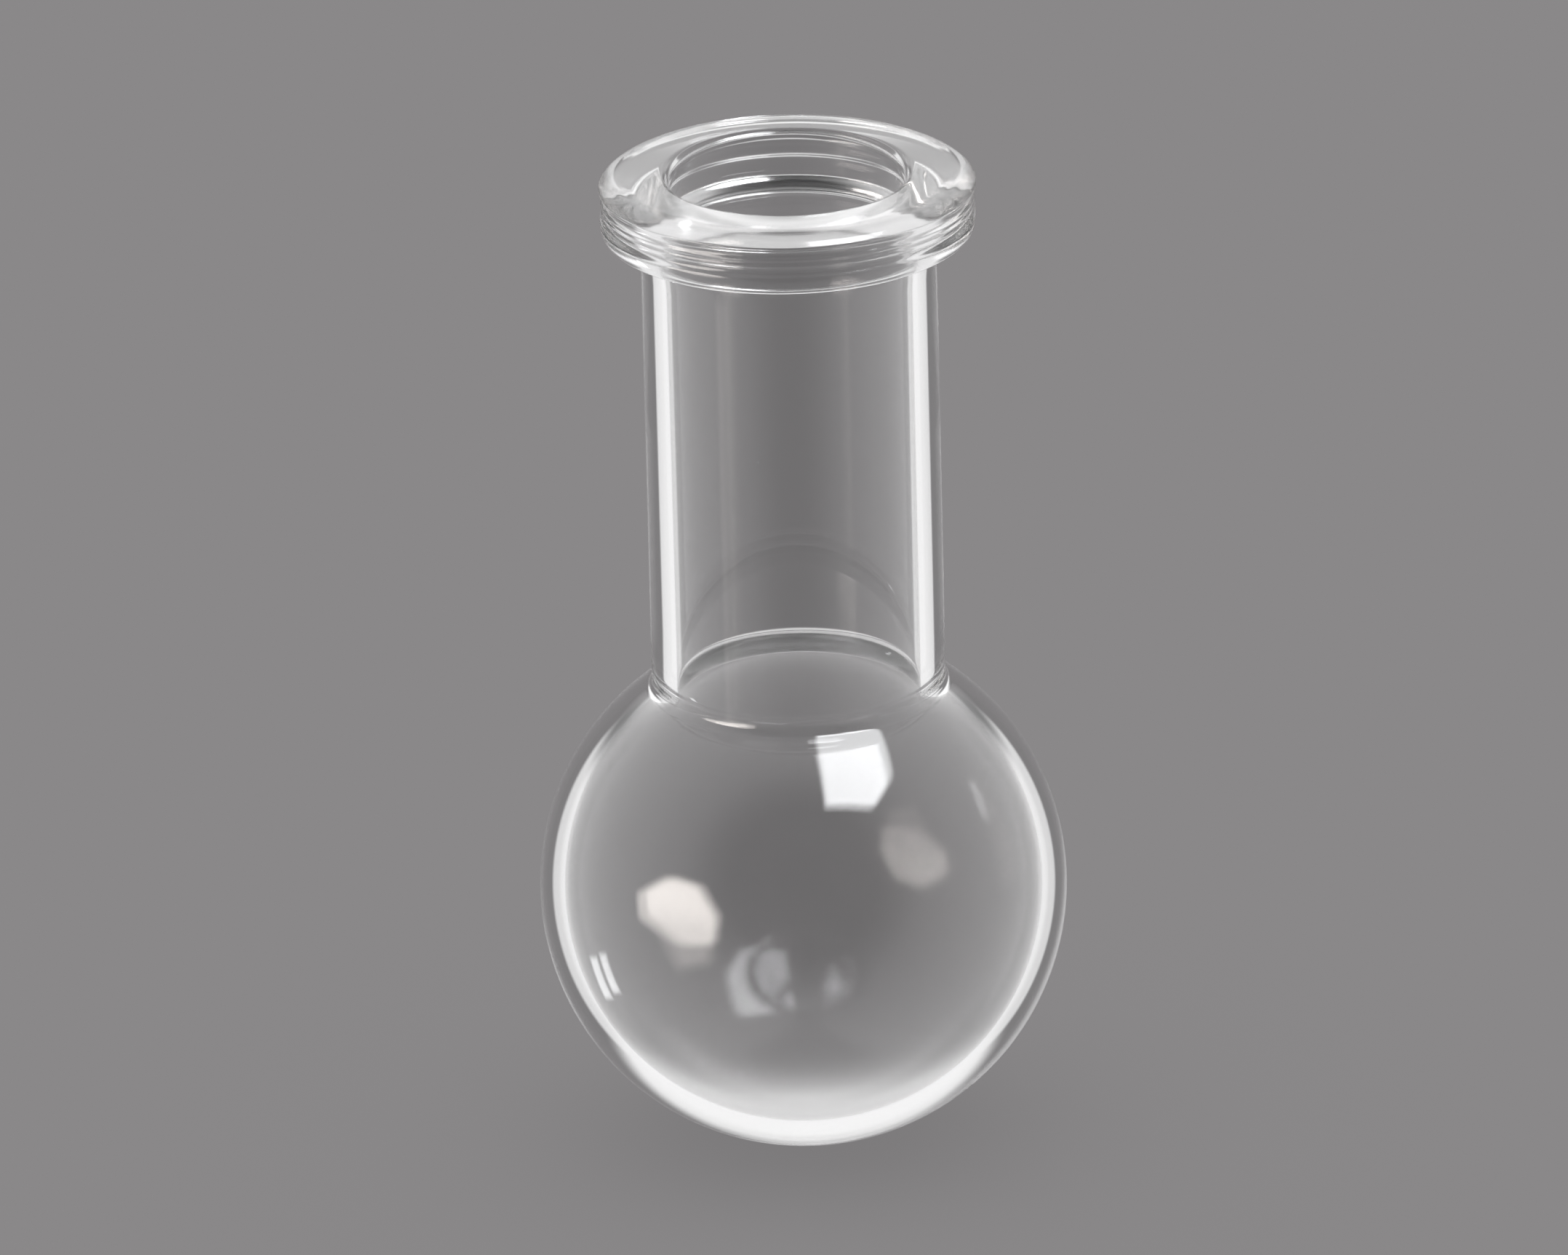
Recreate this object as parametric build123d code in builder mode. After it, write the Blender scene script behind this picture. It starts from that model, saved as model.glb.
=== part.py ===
from build123d import *
import os
from math import sqrt

# Round bottom flask, blown in heavy borosilicate glass.
# Origin: lowest point of the bulb, on the flask's axis. +Z up through the mouth. Millimetres.

# Bulb
bulb_r = 25.5            # outer radius of the sphere
bulb_wall = 2.4
bulb_inner_r = bulb_r - bulb_wall
bulb_z = bulb_r          # height of the sphere's centre

# Neck: a parallel tube
neck_r = 14.2            # outer radius
bore_r = 11.75           # inner radius
shoulder_fillet = 1.5    # outside, where the neck meets the bulb
throat_round = 3.0       # inside, where the bore opens into the bulb

# Flange: thick flat-topped rim, its bore drawn in a little where the glass was gathered
total_h = 98.7           # top of the sealing land
flange_r = 18.15
mouth_r = 11.35          # parallel bore of the mouth
mouth_round = 1.0        # inner edge of the mouth
mouth_low_z = total_h - 5.4   # the mouth's bore ends here and eases out to the neck's
mouth_ease_z = total_h - 7.4
land_r = 15.6            # outer edge of the flat sealing land
crown_r = 17.0           # the top falls gently from land_r to here
crown_drop = 0.4
edge_top_z = total_h - 1.3    # straight rim starts below the top edge's rounding
edge_bottom_z = total_h - 4.1
under_z = total_h - 6.0       # underside of the flange
under_r = 17.2                # the lower rounding ends here
under_fillet_r = 1.2          # outward run of the blend into the neck
under_fillet_h = 1.2          # downward run of the same blend

# Flame-sealed butt joints between the blown bulb, the tube and the rim
seal_low_z = 49.0
seal_high_z = 91.0

os.makedirs("parts", exist_ok=True)

# Where the spheres meet the neck's two cylinders
outer_join_z = bulb_z + sqrt(bulb_r**2 - neck_r**2)
inner_join_z = bulb_z + sqrt(bulb_inner_r**2 - bore_r**2)

# ---------------------------------------------------------------- bulb
# A spherical shell with a short collar for the neck tube
with BuildPart() as bulb:
    with BuildSketch(Plane.XZ):
        with BuildLine():
            RadiusArc((0, 0), (bulb_r, bulb_z), -bulb_r)
            RadiusArc((bulb_r, bulb_z), (neck_r, outer_join_z), -bulb_r)
            Polyline(
                (neck_r, outer_join_z),
                (neck_r, seal_low_z),
                (bore_r, seal_low_z),
                (bore_r, inner_join_z),
            )
            RadiusArc((bore_r, inner_join_z), (bulb_inner_r, bulb_z), bulb_inner_r)
            RadiusArc((bulb_inner_r, bulb_z), (0, bulb_wall), bulb_inner_r)
            Line((0, bulb_wall), (0, 0))
        make_face()
    revolve(axis=Axis.Z)
    # The collar's two lowest circles are the corners against the spheres
    joins = bulb.edges().filter_by(GeomType.CIRCLE).filter_by(
        lambda e: abs(e.center().Z - outer_join_z) < 0.01 and abs(e.radius - neck_r) < 0.01
    )
    fillet(joins, radius=shoulder_fillet)
    throat = bulb.edges().filter_by(GeomType.CIRCLE).filter_by(
        lambda e: abs(e.center().Z - inner_join_z) < 0.01 and abs(e.radius - bore_r) < 0.01
    )
    fillet(throat, radius=throat_round)

bulb.part.label = "bulb"
export_step(bulb.part, "parts/bulb.step")

# ---------------------------------------------------------------- neck
# A plain length of tube between the two seals
with BuildPart() as neck:
    with BuildSketch(Plane.XY.offset(seal_low_z)):
        Circle(neck_r)
        Circle(bore_r, mode=Mode.SUBTRACT)
    extrude(amount=seal_high_z - seal_low_z)

neck.part.label = "neck"
export_step(neck.part, "parts/neck.step")

# ---------------------------------------------------------------- flange
# The rim gathered at the mouth: a flat sealing land, a crowned shoulder, a short straight edge,
# a full rounding below it and a small blend back into the neck
with BuildPart() as flange:
    with BuildSketch(Plane.XZ):
        with BuildLine():
            Line((bore_r, seal_high_z), (bore_r, mouth_ease_z))
            Spline(
                (bore_r, mouth_ease_z),
                ((bore_r + mouth_r) / 2, (mouth_ease_z + mouth_low_z) / 2),
                (mouth_r, mouth_low_z),
                tangents=[(0, 1), (0, 1)],
            )
            Line((mouth_r, mouth_low_z), (mouth_r, total_h - mouth_round))
            RadiusArc(
                (mouth_r, total_h - mouth_round),
                (mouth_r + mouth_round, total_h),
                mouth_round,
            )
            Line((mouth_r + mouth_round, total_h), (land_r, total_h))
            Spline(
                (land_r, total_h),
                (crown_r, total_h - crown_drop),
                (flange_r, edge_top_z),
                tangents=[(1, 0), (0, -1)],
            )
            Line((flange_r, edge_top_z), (flange_r, edge_bottom_z))
            Spline(
                (flange_r, edge_bottom_z),
                (
                    under_r + (flange_r - under_r) * 0.7071,
                    under_z + (edge_bottom_z - under_z) * 0.2929,
                ),
                (under_r, under_z),
                tangents=[(0, -1), (-1, 0)],
            )
            Line((under_r, under_z), (neck_r + under_fillet_r, under_z))
            Spline(
                (neck_r + under_fillet_r, under_z),
                (
                    neck_r + under_fillet_r * 0.2929,
                    under_z - under_fillet_h * 0.2929,
                ),
                (neck_r, under_z - under_fillet_h),
                tangents=[(-1, 0), (0, -1)],
            )
            Polyline(
                (neck_r, under_z - under_fillet_h),
                (neck_r, seal_high_z),
                (bore_r, seal_high_z),
            )
        make_face()
    revolve(axis=Axis.Z)

flange.part.label = "flange"
export_step(flange.part, "parts/flange.step")

inner_ml = (
    4 / 3 * 3.14159265 * bulb_inner_r**3 - 3.14159265 * (bulb_z + bulb_inner_r - inner_join_z) ** 2
    * (3 * bulb_inner_r - (bulb_z + bulb_inner_r - inner_join_z)) / 3
) / 1000
print("bulb volume, ml, to the throat:", round(inner_ml, 1))
for piece in (bulb.part, neck.part, flange.part):
    print(piece.label, "volume", round(piece.volume, 1), "valid", piece.is_valid)
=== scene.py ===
import math

import bpy
from mathutils import Matrix, Vector


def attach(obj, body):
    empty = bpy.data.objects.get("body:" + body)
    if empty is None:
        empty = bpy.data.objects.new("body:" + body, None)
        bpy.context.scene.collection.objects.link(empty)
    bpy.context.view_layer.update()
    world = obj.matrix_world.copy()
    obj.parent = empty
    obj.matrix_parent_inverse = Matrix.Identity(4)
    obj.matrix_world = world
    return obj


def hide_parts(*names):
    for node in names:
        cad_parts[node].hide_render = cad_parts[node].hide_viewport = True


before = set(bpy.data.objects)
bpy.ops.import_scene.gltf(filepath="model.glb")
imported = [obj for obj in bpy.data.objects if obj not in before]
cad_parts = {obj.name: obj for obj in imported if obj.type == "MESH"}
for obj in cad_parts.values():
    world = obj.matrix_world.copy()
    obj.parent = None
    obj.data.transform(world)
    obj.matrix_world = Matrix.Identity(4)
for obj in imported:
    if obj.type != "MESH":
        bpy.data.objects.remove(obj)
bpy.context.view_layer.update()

scene = bpy.context.scene
MM = 0.001

# ------------------------------------------------------------------ render behaviour
# Light runs round inside the thick flange many times before it leaves, so the bounce limits are
# high, and rare reflections must not be skipped as converged.
scene.cycles.max_bounces = 96
scene.cycles.transmission_bounces = 96
scene.cycles.glossy_bounces = 64
scene.cycles.diffuse_bounces = 4
scene.cycles.transparent_max_bounces = 64
scene.cycles.use_adaptive_sampling = False
scene.cycles.sample_clamp_indirect = 0.0
scene.cycles.use_denoising = True
scene.cycles.denoising_prefilter = "ACCURATE"
scene.view_settings.view_transform = "Standard"
scene.view_settings.look = "None"
scene.view_settings.exposure = 0.0
scene.view_settings.gamma = 1.0


def srgb(r, g, b):
    """Linear colour from 0-255 display values."""
    out = []
    for c in (r, g, b):
        c /= 255.0
        out.append(c / 12.92 if c <= 0.04045 else ((c + 0.055) / 1.055) ** 2.4)
    return tuple(out)


GREY = srgb(138, 136, 137)

# ------------------------------------------------------------------ camera
# A long lens, a little over 21 degrees above the horizon, with a slight roll so that the
# flask's axis leans to the left.
ELEV = math.radians(21.4)
ROLL = math.radians(-1.375)
PX_PER_MM = 14.216        # scale at the bulb's centre in a 2156 wide frame
DEPTH = 2.010             # metres from the lens to the bulb's centre, along the view
right0 = Vector((1, 0, 0))
fwd = Vector((0, math.cos(ELEV), -math.sin(ELEV)))
up0 = Vector((0, math.sin(ELEV), math.cos(ELEV)))
right = right0 * math.cos(ROLL) + up0 * math.sin(ROLL)
up = up0 * math.cos(ROLL) - right0 * math.sin(ROLL)
centre = Vector((0, 0, 25.5 * MM))
aim = centre - right * ((1105 - 1078) / PX_PER_MM * MM) + up * ((1213 - 862.5) / PX_PER_MM * MM)
cam_data = bpy.data.cameras.new("camera")
cam = bpy.data.objects.new("camera", cam_data)
scene.collection.objects.link(cam)
cam_data.sensor_fit = "HORIZONTAL"
cam_data.sensor_width = 36.0
cam_data.lens = DEPTH * 36.0 / (2156 / PX_PER_MM * MM)
cam_data.clip_start = 0.05
cam_data.clip_end = 100.0
rot = Matrix((right, up, -fwd)).transposed().to_4x4()
cam.matrix_world = Matrix.Translation(aim - fwd * DEPTH) @ rot
scene.camera = cam


# ------------------------------------------------------------------ node helpers
class Tree:
    """A short way to write node maths."""

    def __init__(self, nt):
        self.nt = nt

    def node(self, kind, **props):
        n = self.nt.nodes.new(kind)
        for k, v in props.items():
            setattr(n, k, v)
        return n

    def put(self, socket, value):
        if isinstance(value, bpy.types.NodeSocket):
            self.nt.links.new(value, socket)
        else:
            socket.default_value = value

    def math(self, op, a, b=None, c=None, clamp=False):
        n = self.node("ShaderNodeMath", operation=op, use_clamp=clamp)
        self.put(n.inputs[0], a)
        if b is not None:
            self.put(n.inputs[1], b)
        if c is not None:
            self.put(n.inputs[2], c)
        return n.outputs[0]

    def dot(self, v, const):
        n = self.node("ShaderNodeVectorMath", operation="DOT_PRODUCT")
        self.put(n.inputs[0], v)
        n.inputs[1].default_value = tuple(const)
        return n.outputs["Value"]

    def step(self, x, a, b, lo=0.0, hi=1.0):
        """Smooth step from lo at x=a to hi at x=b."""
        n = self.node("ShaderNodeMapRange", interpolation_type="SMOOTHSTEP", clamp=True)
        self.put(n.inputs["Value"], x)
        if a < b:
            n.inputs["From Min"].default_value, n.inputs["From Max"].default_value = a, b
            n.inputs["To Min"].default_value, n.inputs["To Max"].default_value = lo, hi
        else:
            n.inputs["From Min"].default_value, n.inputs["From Max"].default_value = b, a
            n.inputs["To Min"].default_value, n.inputs["To Max"].default_value = hi, lo
        return n.outputs["Result"]

    def curve(self, x, points):
        """Straight-line interpolation through (x, y) points."""
        n = self.node("ShaderNodeValToRGB")
        n.color_ramp.interpolation = "LINEAR"
        lo, hi = points[0][0], points[-1][0]
        els = n.color_ramp.elements
        while len(els) > 1:
            els.remove(els[-1])
        for i, (px, py) in enumerate(points):
            pos = (px - lo) / (hi - lo)
            e = els[0] if i == 0 else els.new(pos)
            e.position = pos
            e.color = (py, py, py, 1)
        self.put(n.inputs["Fac"], self.math("DIVIDE", self.math("SUBTRACT", x, lo), hi - lo, clamp=True))
        return n.outputs["Color"]

    def mix(self, fac, a, b):
        n = self.node("ShaderNodeMix", data_type="RGBA")
        self.put(n.inputs["Factor"], fac)
        self.put(n.inputs["A"], a if isinstance(a, bpy.types.NodeSocket) else (*a, 1))
        self.put(n.inputs["B"], b if isinstance(b, bpy.types.NodeSocket) else (*b, 1))
        return n.outputs["Result"]

    def add(self, a, b):
        n = self.node("ShaderNodeMix", data_type="RGBA", blend_type="ADD")
        n.inputs["Factor"].default_value = 1.0
        self.put(n.inputs["A"], a)
        self.put(n.inputs["B"], b)
        return n.outputs["Result"]

    def tint(self, value, colour):
        """A colour times a number."""
        n = self.node("ShaderNodeVectorMath", operation="SCALE")
        n.inputs[0].default_value = colour
        self.put(n.inputs["Scale"], value)
        return n.outputs["Vector"]


# ------------------------------------------------------------------ studio
# The room is a soft white tent: dim behind the camera, a mid-grey sheet behind the flask,
# white at the sides and below, and two soft lamps, a cool one overhead and a warm one to
# the left. All of it is fixed in the world.
world = bpy.data.worlds.new("studio")
scene.world = world
world.use_nodes = True
wt = Tree(world.node_tree)
for n in list(world.node_tree.nodes):
    world.node_tree.nodes.remove(n)
d = wt.node("ShaderNodeTexCoord").outputs["Generated"]
toward = -fwd             # from the flask to the camera
cos_c = wt.dot(d, toward)
theta_c = wt.math("MULTIPLY", wt.math("ARCCOSINE", cos_c), 180 / math.pi)
tent = wt.curve(theta_c, [(0, 0.0), (34, 0.02), (45, 0.22), (56, 0.55), (74, 0.85), (95, 1.05), (180, 1.12)])

df = wt.math("MAXIMUM", wt.dot(d, fwd), 0.02)
u = wt.math("DIVIDE", wt.dot(d, right0), df)
v = wt.math("DIVIDE", wt.dot(d, up0), df)
tan = lambda a: math.tan(math.radians(a))

# ahead, above the grey sheet: a bright strip of wall, then a darker ceiling
elev = wt.math("MULTIPLY", wt.math("ARCSINE", wt.dot(d, (0, 0, 1))), 180 / math.pi)
ahead = wt.dot(d, (0, 1, 0))
level = wt.math("SQRT", wt.math("MAXIMUM", wt.math("SUBTRACT", 1.0, wt.math("POWER", wt.dot(d, (0, 0, 1)), 2.0)), 1e-4))
azim = wt.math("DIVIDE", ahead, level)
over = wt.curve(elev, [(-10, 0.25), (7, 0.20), (12, 0.75), (18, 1.6), (24, 1.7), (30, 1.25), (40, 0.95), (50, 0.30),
                       (58, 0.06), (70, 0.06), (82, 0.30), (90, 0.42)])
near = wt.math("MULTIPLY", wt.step(azim, 0.76, 0.90), wt.step(elev, -4, 4))
# glancing mirror images in the outermost edge of the glass are dim, which leaves a dark outline
lp = wt.node("ShaderNodeLightPath")
glance = wt.math("MULTIPLY", wt.math("LESS_THAN", lp.outputs["Transmission Depth"], 0.5),
                 wt.math("GREATER_THAN", lp.outputs["Glossy Depth"], 0.5))
low = wt.math("ADD", v, wt.math("MULTIPLY", wt.math("ABSOLUTE", u), 0.5))
glance = wt.math("MULTIPLY", glance, wt.math("MULTIPLY", wt.step(theta_c, 122, 138), wt.step(low, -tan(20), -tan(8))))
tent = wt.math("MULTIPLY", tent, wt.math("SUBTRACT", 1.0, wt.math("MULTIPLY", glance, 0.8)))
tent = wt.mix(near, tent, over)

# the grey sheet itself, and the floor in front of it
side = wt.math("MULTIPLY", wt.step(u, -tan(28), -tan(23.5)), wt.step(u, tan(27), tan(23)))
mask = wt.math("MULTIPLY", side, wt.step(low, -tan(15), -tan(6)))
mask = wt.math("MULTIPLY", mask, wt.step(elev, 14, 8))
mask = wt.math("MULTIPLY", mask, wt.step(wt.dot(d, fwd), 0.05, 0.3))
env = wt.mix(mask, tent, GREY)


# A lamp's image that has crossed more than two walls and been turned back inside the glass on the way
# is scattered by the real flask's unevenness, so here it counts for much less.
deep = wt.math("MULTIPLY", wt.math("GREATER_THAN", lp.outputs["Transmission Depth"], 5.5),
               wt.math("GREATER_THAN", lp.outputs["Glossy Depth"], 0.5))
direct = wt.math("SUBTRACT", 1.0, wt.math("MULTIPLY", deep, 0.88))


def lamp(env, axis, outline, power, colour, edge=0.03, round_=0.05, fade=None):
    """Adds a soft-edged lamp. outline is a convex polygon, clockwise, in tangents about its axis:
    x level, y upward. fade is (y at full strength, y at the low end, strength there)."""
    a = Vector(axis).normalized()
    x = Vector((0, 0, 1)).cross(a).normalized()
    y = a.cross(x)
    da = wt.dot(d, a)
    safe = wt.math("MAXIMUM", da, 0.02)
    su = wt.math("DIVIDE", wt.dot(d, x), safe)
    sv = wt.math("DIVIDE", wt.dot(d, y), safe)
    inner = None
    for p, q in zip(outline, outline[1:] + outline[:1]):
        ex, ey = q[0] - p[0], q[1] - p[1]
        length = math.hypot(ex, ey)
        nx, ny = ey / length, -ex / length      # to the right of travel: the inside
        dist = wt.math("ADD", wt.math("MULTIPLY", su, nx),
                       wt.math("MULTIPLY_ADD", sv, ny, -(p[0] * nx + p[1] * ny)))
        inner = dist if inner is None else wt.math("SMOOTH_MIN", inner, dist, round_)
    m = wt.math("MULTIPLY", wt.step(inner, -edge, edge), wt.step(da, 0.03, 0.1))
    if fade:
        m = wt.math("MULTIPLY", m, wt.step(sv, fade[1], fade[0], fade[2], 1.0))
    m = wt.math("MULTIPLY", m, direct)
    return wt.add(env, wt.tint(wt.math("MULTIPLY", m, power), colour))


env = lamp(env, (0.3878, -0.2203, 0.895),
           [(0.01, 0.37), (0.41, 0.12), (0.145, -0.19), (-0.14, -0.275), (-0.42, -0.016)],
           11.5, (0.97, 0.985, 1.0))
env = lamp(env, (-0.8423, -0.5385, 0.0213),
           [(-0.135, 0.216), (0.148, 0.233), (0.335, 0.043), (0.318, -0.174), (0.042, -0.216),
            (-0.336, -0.128), (-0.378, 0.021)],
           9.6, (1.0, 0.94, 0.89), edge=0.045, fade=(0.08, -0.2, 0.7))
env = lamp(env, (-0.7594, -0.5973, -0.2581),
           [(-0.244, 0.10), (0.182, 0.14), (0.166, -0.026), (-0.106, -0.107)],
           2.2, (1.0, 0.94, 0.89), edge=0.06)
env = lamp(env, (-0.8168, 0.2836, -0.5024),
           [(-0.038, 0.083), (0.05, 0.096), (0.041, -0.09), (-0.053, -0.089)],
           6.0, (0.97, 0.985, 1.0), edge=0.02, round_=0.02)

# Seen straight through both walls from the side, from behind or from above, the room is the
# same grey as the floor, as it is from the front.
through = wt.math("MULTIPLY", wt.math("COMPARE", lp.outputs["Transmission Depth"], 4.0, 0.1),
                  wt.math("COMPARE", lp.outputs["Glossy Depth"], 0.0, 0.1))
away = wt.math("MAXIMUM", wt.step(azim, math.cos(math.radians(38)), math.cos(math.radians(45))), wt.step(elev, -58, -68))
env = wt.mix(wt.math("MULTIPLY", through, away), env, GREY)
bg_env = wt.node("ShaderNodeBackground")
wt.put(bg_env.inputs["Color"], env)
bg_cam = wt.node("ShaderNodeBackground")
bg_cam.inputs["Color"].default_value = (*GREY, 1)
pick = wt.node("ShaderNodeMixShader")
wt.put(pick.inputs[0], lp.outputs["Is Camera Ray"])
wt.put(pick.inputs[1], bg_env.outputs[0])
wt.put(pick.inputs[2], bg_cam.outputs[0])
out = wt.node("ShaderNodeOutputWorld")
wt.put(out.inputs["Surface"], pick.outputs[0])

# A plain floor under the flask, the same grey as the sheet behind it, with a faint soft
# shadow where the bulb comes down to it.
floor_mesh = bpy.data.meshes.new("floor")
S = 30.0
floor_mesh.from_pydata([(-S, -S, 0), (S, -S, 0), (S, S, 0), (-S, S, 0)], [], [(0, 1, 2, 3)])
floor = bpy.data.objects.new("floor", floor_mesh)
scene.collection.objects.link(floor)
floor.visible_glossy = False
floor.visible_transmission = False
floor.visible_diffuse = False
floor.visible_shadow = False
fm = bpy.data.materials.new("floor_grey")
fm.use_nodes = True
ft = Tree(fm.node_tree)
for n in list(fm.node_tree.nodes):
    fm.node_tree.nodes.remove(n)
ao = ft.node("ShaderNodeAmbientOcclusion", samples=8)
ao.inputs["Distance"].default_value = 0.05
shade = ft.step(ao.outputs["AO"], 0.0, 1.0, 0.80, 1.0)
em = ft.node("ShaderNodeEmission")
ft.put(em.inputs["Color"], ft.tint(shade, GREY))
fo = ft.node("ShaderNodeOutputMaterial")
ft.put(fo.inputs["Surface"], em.outputs[0])
floor_mesh.materials.append(fm)

# A small grey card is held level behind the flask, below the rim. Only the rim sees it, as it is clear to
# light that has crossed more than one wall: it darkens what the rim shows of the room below.
card_mesh = bpy.data.meshes.new("card")
card_mesh.from_pydata([(-0.015, 0.03, 0.06), (0.015, 0.03, 0.06), (0.015, 0.062, 0.06), (-0.015, 0.062, 0.06)], [], [(0, 1, 2, 3)])
card = bpy.data.objects.new("card", card_mesh)
scene.collection.objects.link(card)
card.visible_camera = False
card.visible_diffuse = False
card.visible_glossy = False
card.visible_shadow = False
cm = bpy.data.materials.new("card_grey")
cm.use_nodes = True
ct = Tree(cm.node_tree)
for n in list(cm.node_tree.nodes):
    cm.node_tree.nodes.remove(n)
ce = ct.node("ShaderNodeEmission")
ce.inputs["Color"].default_value = (*[c for c in GREY], 1)
cpick = ct.node("ShaderNodeMixShader")
ct.put(cpick.inputs[0], ct.math("GREATER_THAN", ct.node("ShaderNodeLightPath").outputs["Transmission Depth"], 2.5))
ct.put(cpick.inputs[1], ce.outputs[0])
ct.put(cpick.inputs[2], ct.node("ShaderNodeBsdfTransparent").outputs[0])
co = ct.node("ShaderNodeOutputMaterial")
ct.put(co.inputs["Surface"], cpick.outputs[0])
card_mesh.materials.append(cm)

# ------------------------------------------------------------------ glass
# One family of clear, faintly grey glass. Each piece has its own surface character.


def glass(name, tint, rough, wave_scale, wave_height, lines=None, soft=0.0):
    m = bpy.data.materials.new(name)
    m.use_nodes = True
    t = Tree(m.node_tree)
    b = m.node_tree.nodes["Principled BSDF"]
    b.inputs["Transmission Weight"].default_value = 1.0
    b.inputs["IOR"].default_value = 1.473
    b.inputs["Base Color"].default_value = (*tint, 1)
    b.inputs["Metallic"].default_value = 0.0
    co = t.node("ShaderNodeTexCoord").outputs["Object"]
    # faint wiped patches, where the polish is a touch less perfect
    film = t.node("ShaderNodeTexNoise")
    film.inputs["Scale"].default_value = 70.0
    film.inputs["Detail"].default_value = 3.0
    film.inputs["Roughness"].default_value = 0.55
    t.put(film.inputs["Vector"], co)
    polish = t.step(film.outputs["Fac"], 0.45, 0.75, rough[0], rough[1])
    if soft:
        # what is seen past the first wall is softer: the far wall, and the lamps' images mirrored in it
        path = t.node("ShaderNodeLightPath")
        again = t.math("MULTIPLY", t.math("LESS_THAN", path.outputs["Glossy Depth"], 1.5),
                       t.math("GREATER_THAN", path.outputs["Transmission Depth"], 1.5))
        again = t.math("MULTIPLY", again, t.step(t.dot(co, (0, 0, 1)), 0.042, 0.046, 1.0, 0.0))
        polish = t.math("ADD", polish, t.math("MULTIPLY", again, soft))
    t.put(b.inputs["Roughness"], polish)
    # the slow unevenness of hand-worked glass
    slow = t.node("ShaderNodeTexNoise")
    slow.inputs["Scale"].default_value = wave_scale
    slow.inputs["Detail"].default_value = 1.0
    if lines:
        mp = t.node("ShaderNodeMapping")
        mp.inputs["Scale"].default_value = lines
        t.put(mp.inputs["Vector"], co)
        t.put(slow.inputs["Vector"], mp.outputs["Vector"])
    else:
        t.put(slow.inputs["Vector"], co)
    bump = t.node("ShaderNodeBump")
    bump.inputs["Strength"].default_value = 1.0
    bump.inputs["Distance"].default_value = wave_height
    t.put(bump.inputs["Height"], slow.outputs["Fac"])
    t.put(b.inputs["Normal"], bump.outputs["Normal"])
    return m


TINT = (0.815, 0.812, 0.814)
mat_bulb = glass("bulb_glass", TINT, (0.0, 0.006), 45.0, 0.00002, soft=0.12)
mat_neck = glass("neck_glass", TINT, (0.0, 0.006), 120.0, 0.00001, lines=(1.0, 1.0, 0.06))
mat_flange = glass("flange_glass", (0.75, 0.748, 0.75), (0.09, 0.14), 160.0, 0.00003)

# Where two pieces are fused the glass simply goes on, so those faces neither bend nor mirror light.
# The joint below the rim also stands for what the glass absorbs from light that has been piped a long
# way along inside the wall.


def fused(name, kept, kept_near):
    m = bpy.data.materials.new(name)
    m.use_nodes = True
    for n in list(m.node_tree.nodes):
        m.node_tree.nodes.remove(n)
    t = Tree(m.node_tree)
    tr = t.node("ShaderNodeBsdfTransparent")
    if kept < 1:
        path = t.node("ShaderNodeLightPath")
        behind = t.math("GREATER_THAN", path.outputs["Transmission Depth"], 1.5)
        piped = t.math("GREATER_THAN", path.outputs["Glossy Depth"], 7.5)
        loss = t.mix(behind, (kept_near, kept_near, kept_near), (kept, kept, kept))
        t.put(tr.inputs["Color"], t.mix(piped, (1.0, 1.0, 1.0), loss))
    t.put(t.node("ShaderNodeOutputMaterial").inputs["Surface"], tr.outputs[0])
    return m


mat_fused = fused("fused_joint", 1.0, 1.0)
mat_fused_rim = fused("fused_rim_joint", 0.0, 0.77)

# ------------------------------------------------------------------ profile, in millimetres
BULB_Z = 25.5
BULB_R = 25.487
BULB_RI = 23.1
NECK_R = 14.2
BORE_R = 11.75
SEAL_LOW, SEAL_HIGH = 49.0, 91.0
TOP = 98.7
SEG = 256

# the rounds where the bulb turns into the neck, outside and inside
JOIN = dict(shoulder=1.5, throat=3.0)


def arc(cr, cz, rad, a0, a1, n, rz=None):
    """Points of an arc in the (r, z) half plane, angles in degrees."""
    rz = rad if rz is None else rz
    return [
        (cr + rad * math.cos(math.radians(a0 + (a1 - a0) * i / n)),
         cz + rz * math.sin(math.radians(a0 + (a1 - a0) * i / n)))
        for i in range(n + 1)
    ]


def line(p, q, n):
    return [(p[0] + (q[0] - p[0]) * i / n, p[1] + (q[1] - p[1]) * i / n) for i in range(n + 1)]


def join(*parts):
    out = []
    for part in parts:
        for p in part:
            if not out or math.dist(out[-1], p) > 1e-6:
                out.append(p)
    return out


def hermite(p, q, tp, tq, n):
    """Cubic from p to q with end tangents."""
    out = []
    for i in range(n + 1):
        s = i / n
        a, b, c, e = 2*s**3 - 3*s**2 + 1, s**3 - 2*s**2 + s, -2*s**3 + 3*s**2, s**3 - s**2
        out.append((a*p[0] + b*tp[0] + c*q[0] + e*tq[0], a*p[1] + b*tp[1] + c*q[1] + e*tq[1]))
    return out


def bulb_outer():
    fr = JOIN["shoulder"]
    fz = BULB_Z + math.sqrt((BULB_R + fr) ** 2 - (NECK_R + fr) ** 2)
    a = math.degrees(math.atan2(fz - BULB_Z, NECK_R + fr))
    return join(
        arc(0, BULB_Z, BULB_R, -90, a, 150),
        arc(NECK_R + fr, fz, fr, a + 180, 180, 12),
        line((NECK_R, fz), (NECK_R, SEAL_LOW), 5),
    )


def bulb_inner():
    fr = JOIN["throat"]
    fz = BULB_Z + math.sqrt((BULB_RI + fr) ** 2 - (BORE_R + fr) ** 2)
    a = math.degrees(math.atan2(fz - BULB_Z, BORE_R + fr))
    return join(
        line((BORE_R, SEAL_LOW), (BORE_R, fz), 5),
        arc(BORE_R + fr, fz, fr, 180, a + 180, 16),
        arc(0, BULB_Z, BULB_RI, a, -90, 150),
    )


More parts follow.
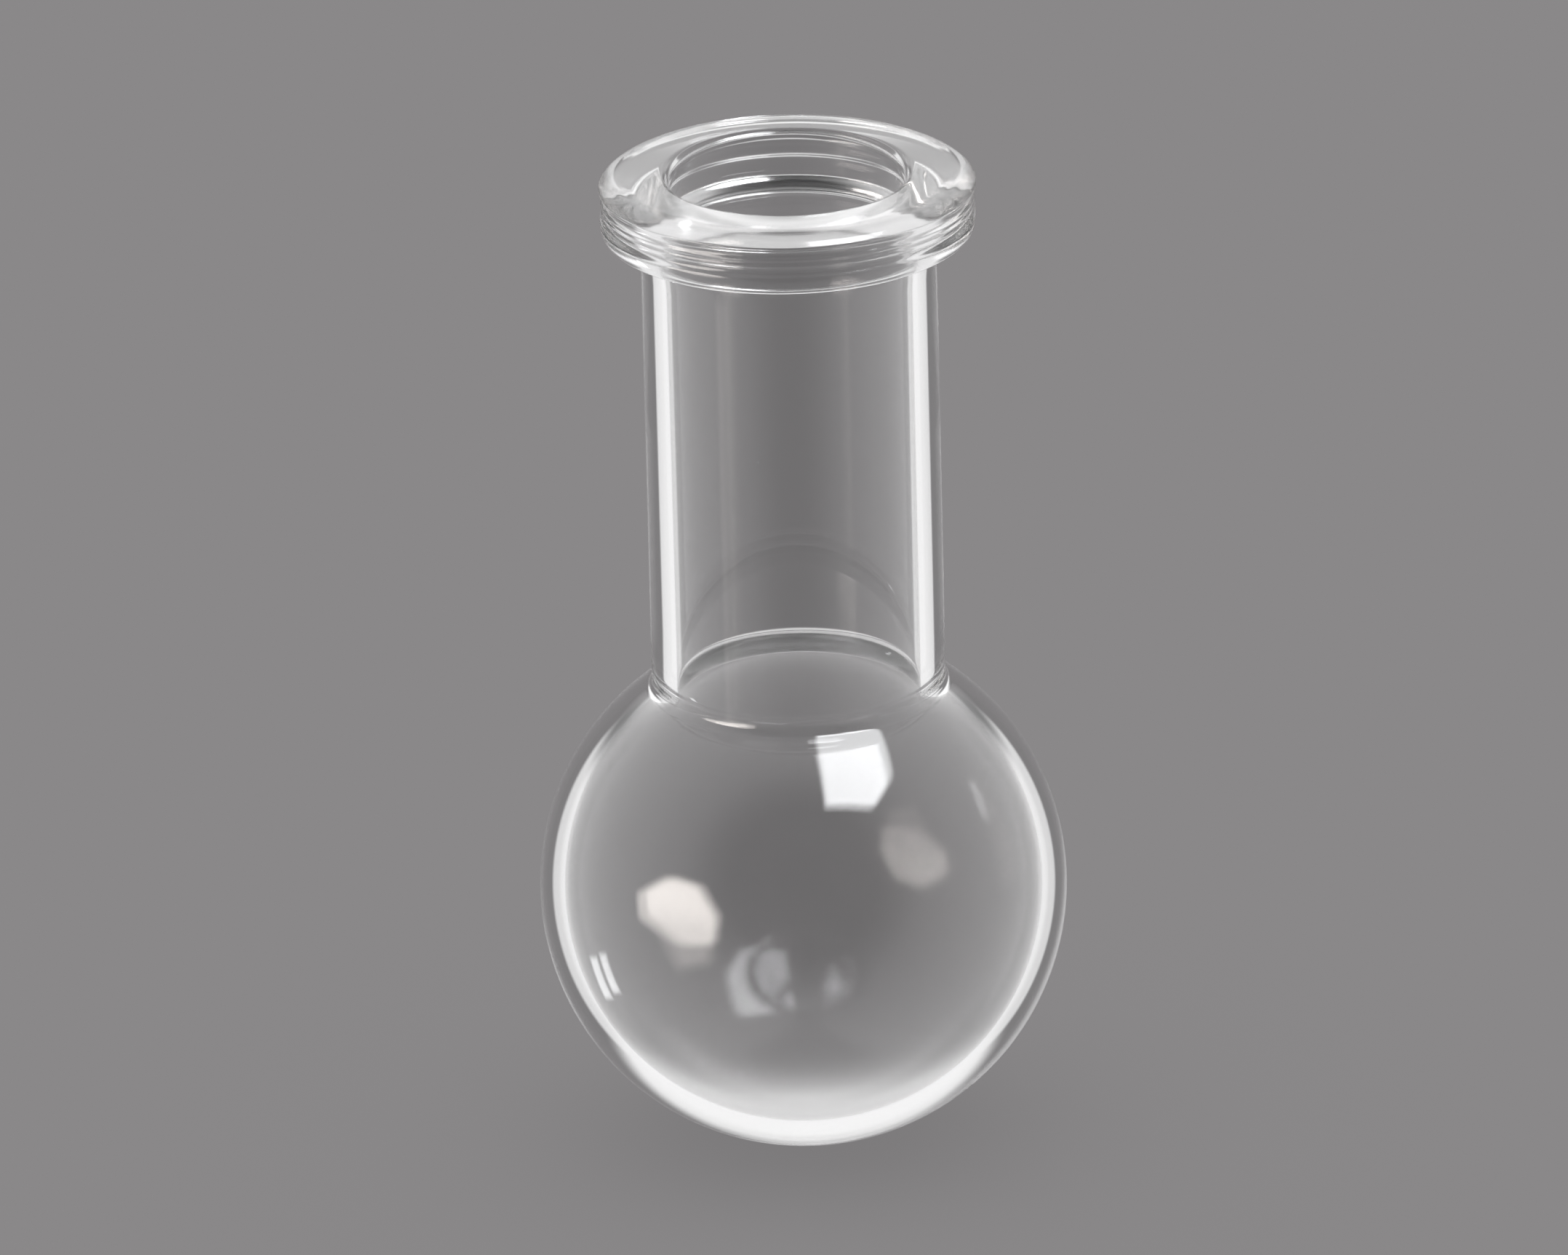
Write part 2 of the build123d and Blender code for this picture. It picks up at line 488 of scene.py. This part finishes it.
# the flange: heights are given as depths below its top
FL = dict(lip=1.0, f=(-0.4, -0.4, -0.4, -0.4, -0.35), land=15.801, land_drop=0.013, bulge=0.23, crown=0.535,
          rim_top=1.15, waist=-0.083, rim_low=-0.115, rim_bottom=4.224, under_r=17.264, under=6.029, fillet_r=1.179,
          fillet_h=1.234, slope=0.376, sag=0.009, rings=(2.4, 3.0), ring_width=0.28, ring_height=0.25)
RIM = 18.15


def bore_offset(depth):
    """How far the flange's bore stands in from the neck's, as a negative number, at a depth below the top."""
    f = FL["f"]
    knots = [(0, f[0] * 1.05), (0.5, f[0]), (1.4, f[1]), (2.5, f[2]), (3.8, f[3]), (5.4, f[4]), (7.4, 0.0)]
    slopes = [(q[1] - p[1]) / (q[0] - p[0]) for p, q in zip(knots, knots[1:])]
    ends = [0.0] + [0.0 if m * n <= 0 else 2 * m * n / (m + n) for m, n in zip(slopes, slopes[1:])] + [0.0]
    for i, (p, q) in enumerate(zip(knots, knots[1:])):
        if depth <= q[0]:
            h = q[0] - p[0]
            t = max(0.0, (depth - p[0]) / h)
            return ((2*t**3 - 3*t**2 + 1) * p[1] + (t**3 - 2*t**2 + t) * h * ends[i]
                    + (-2*t**3 + 3*t**2) * q[1] + (t**3 - t**2) * h * ends[i + 1])
    return 0.0


def soften(points, step, passes):
    """The same outline in even steps, its corners rounded."""
    total = [0.0]
    for p, q in zip(points, points[1:]):
        total.append(total[-1] + math.dist(p, q))
    n = int(total[-1] / step)
    out, k = [], 0
    for i in range(n):
        t = total[-1] * i / (n - 1)
        while k < len(points) - 2 and total[k + 1] < t:
            k += 1
        w = (t - total[k]) / (total[k + 1] - total[k])
        out.append(tuple(a + (b - a) * w for a, b in zip(points[k], points[k + 1])))
    for _ in range(passes):
        out = [out[0]] + [tuple(0.25 * a + 0.5 * b + 0.25 * c for a, b, c in zip(p, q, r))
                          for p, q, r in zip(out, out[1:], out[2:])] + [out[-1]]
    return out


def flange_outer():
    f = FL
    et, eb = TOP - f["rim_top"], TOP - f["rim_bottom"]
    land = (f["land"], TOP - f["land_drop"])
    shoulder = []
    for i in range(16):
        t = i / 15
        puff = f["bulge"] * t ** f["crown"] * (1 - t) ** (1 - f["crown"]) * 2 * min(1, 4 * min(t, 1 - t))
        shoulder.append((land[0] + (RIM - land[0]) * t, land[1] + (et - land[1]) * t + puff))
    rim = []
    for i in range(41):
        t = i / 40
        z = eb + (et - eb) * t
        # two faint tooling rings stand out of the rim
        ring = max([math.cos(min(1.0, abs(TOP - z - d) / f["ring_width"]) * math.pi / 2) ** 2 for d in f["rings"]])
        rim.append((RIM + f["rim_low"] * (1 - t) + f["waist"] * (4 * t * (1 - t)) - f["ring_height"] * (1 - ring) * min(1, 8 * t * (1 - t)), z))
    rb = rim[0][0]
    rf, uz = NECK_R + f["fillet_r"], TOP - f["under"]
    zf = uz - f["slope"]
    # listed from the neck up to the lip
    under = []
    for i in range(8):
        t = i / 7
        under.append((rf + (f["under_r"] - rf) * t, zf + (uz - zf) * t - f["sag"] * 2 * t * (1 - t)))
    lip = BORE_R + bore_offset(0.0) + f["lip"]
    outline = join(
        line((NECK_R, SEAL_HIGH - 1.5), (NECK_R, zf - f["fillet_h"]), 3),
        arc(rf, zf - f["fillet_h"], f["fillet_r"], 180, 90, 12, rz=f["fillet_h"]),
        under,
        arc(f["under_r"], eb, rb - f["under_r"], -90, 0, 14, rz=eb - uz),
        rim[1:], shoulder[::-1], line(land, (lip, TOP), 6),
    )
    return [(NECK_R, SEAL_HIGH)] + [p for p in soften(outline, 0.12, 6) if p[1] > SEAL_HIGH + 0.05]


def flange_inner():
    lip = FL["lip"]
    pts = arc(BORE_R + bore_offset(0.0) + lip, TOP - lip, lip, 90, 180, 8)
    n = int((TOP - SEAL_HIGH) / 0.2)
    for i in range(n + 1):
        depth = (TOP - SEAL_HIGH) * i / n
        if depth > lip + 0.1:
            pts.append((BORE_R + bore_offset(depth), TOP - depth))
    return pts


def ripple(r, z, a, inner):
    """How far, in mm, the hand-worked surface stands in from the true one. Never outward on the outside."""
    s = 0.0
    if z < 46.5:
        k = 1.7 if inner else 0.0
        lat = z / 51.0
        s = (0.5 * math.sin(2 * a + 0.7 + k + 2.1 * lat) + 0.3 * math.sin(3 * a - 1.3 - k + 4.0 * lat)
             + 0.2 * math.sin(5 * a + 2.2 + k - 6.0 * lat)) * 0.028
        s *= min(1.0, r / 12.0)
        lim = 0.03
    elif z < 91.0:
        k = 0.9 if inner else 0.0
        s = (0.5 * math.sin(2 * a + 1.1 + k + z * 0.05) + 0.3 * math.sin(3 * a + 0.4 - k - z * 0.08)
             + 0.2 * math.sin(7 * a - 0.8 + k + z * 0.02)) * 0.02
        s *= min(1.0, (z - 46.5) / 6.0)
        lim = 0.02
    else:
        return 0.0
    return s * (1.0) - (0.0 if inner else lim * min(1.0, r / 12.0) * 1.0)


def lathe(name, rings, loop_closed, cap_rows, mat, poles=()):
    """A body of revolution from (r, z, inner) rings in order round the section. cap_rows are the ring
    indices whose following strip is a fused joint. poles are rings that shrink to a point."""
    verts, index = [], []
    for i, (r, z, inner) in enumerate(rings):
        if i in poles:
            verts.append((0.0, 0.0, z * MM))
            index.append([len(verts) - 1] * SEG)
            continue
        row = []
        for s in range(SEG):
            a = 2 * math.pi * s / SEG
            rr = r + ripple(r, z, a, inner)
            verts.append((rr * math.cos(a) * MM, rr * math.sin(a) * MM, z * MM))
            row.append(len(verts) - 1)
        index.append(row)
    faces, mats = [], []
    rim_row = max(cap_rows, key=lambda i: rings[i][1])
    count = len(rings)
    for i in range(count if loop_closed else count - 1):
        a_row, b_row = index[i], index[(i + 1) % count]
        for s in range(SEG):
            t = (s + 1) % SEG
            f = [a_row[s], a_row[t], b_row[t], b_row[s]]
            f = [x for j, x in enumerate(f) if x not in f[:j]]
            faces.append(f)
            mats.append(0 if i not in cap_rows else 2 if i == rim_row and rings[i][1] > 80 else 1)
    me = bpy.data.meshes.new(name)
    me.from_pydata(verts, [], faces)
    me.materials.append(mat)
    me.materials.append(mat_fused)
    me.materials.append(mat_fused_rim)
    me.polygons.foreach_set("material_index", mats)
    me.polygons.foreach_set("use_smooth", [True] * len(mats))
    # the rim of each fused face is a sharp edge, so that it doesn't turn the glass's normals
    side = {}
    for p in me.polygons:
        for k in p.edge_keys:
            side.setdefault(k, set()).add(p.material_index)
    for e in me.edges:
        e.use_edge_sharp = len(side.get(tuple(sorted(e.vertices)), ())) > 1
    me.update()
    me.validate()
    o = bpy.data.objects.new(name, me)
    scene.collection.objects.link(o)
    return o


def tag(points, inner):
    return [(r, z, inner) for r, z in points]


# bulb: pole, out and up, across the joint, down and in, inner pole
ro, ri = bulb_outer(), bulb_inner()
rings = tag(ro, False) + tag(ri, True)
bulb = lathe("bulb_glass", rings, False, {len(ro) - 1}, mat_bulb, poles={0, len(rings) - 1})
# neck: up the outside, across, down the bore, across
ro = line((NECK_R, SEAL_LOW), (NECK_R, SEAL_HIGH), 56)
ri = line((BORE_R, SEAL_HIGH), (BORE_R, SEAL_LOW), 56)
rings = tag(ro, False) + tag(ri, True)
neck = lathe("neck_glass", rings, True, {len(ro) - 1, len(rings) - 1}, mat_neck)
# flange: up and over the outside, down the bore, across the joint
ro, ri = flange_outer(), flange_inner()
ri = ri[1:] if math.dist(ro[-1], ri[0]) < 1e-6 else ri
rings = tag(ro, False) + tag(ri, True)
flange = lathe("flange_glass", rings, True, {len(rings) - 1}, mat_flange)

for piece, node in ((bulb, "bulb"), (neck, "neck"), (flange, "flange")):
    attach(piece, "root")
    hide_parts(node)
